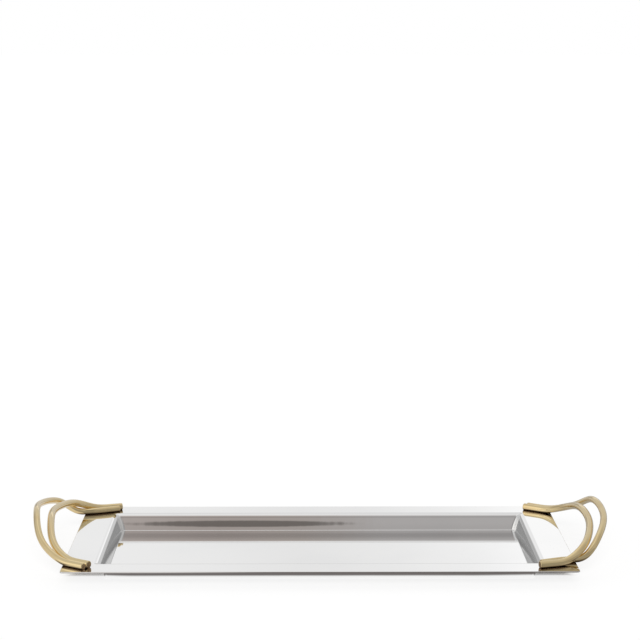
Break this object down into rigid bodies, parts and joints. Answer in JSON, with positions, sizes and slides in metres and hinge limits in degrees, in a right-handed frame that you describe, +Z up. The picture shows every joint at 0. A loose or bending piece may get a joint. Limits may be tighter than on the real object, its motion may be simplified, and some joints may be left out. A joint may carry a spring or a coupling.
{
  "type": "serving tray",
  "caption": "Shallow rectangular mirror-polished tray with a wide flat flange, carried by a bent twin-rod brass handle at each end.",
  "frame": {"origin": "middle of the floor's underside, on the surface that the tray stands on", "axes": "+X along the tray towards its right handle, +Y towards the back long side, +Z up"},
  "size_m": [0.5474, 0.255, 0.0509],
  "materials": {
    "polished_steel": "mirror-polished stainless steel",
    "brass": "polished, pale champagne brass",
    "plain_steel": "satin"
  },
  "bodies": {
    "root": {"tray_body": "polished_steel", "left_outer_rod": "brass", "left_inner_rod": "brass", "right_outer_rod": "brass", "right_inner_rod": "brass", "washers": "plain_steel", "screws": "plain_steel"}
  },
  "joints": []
}
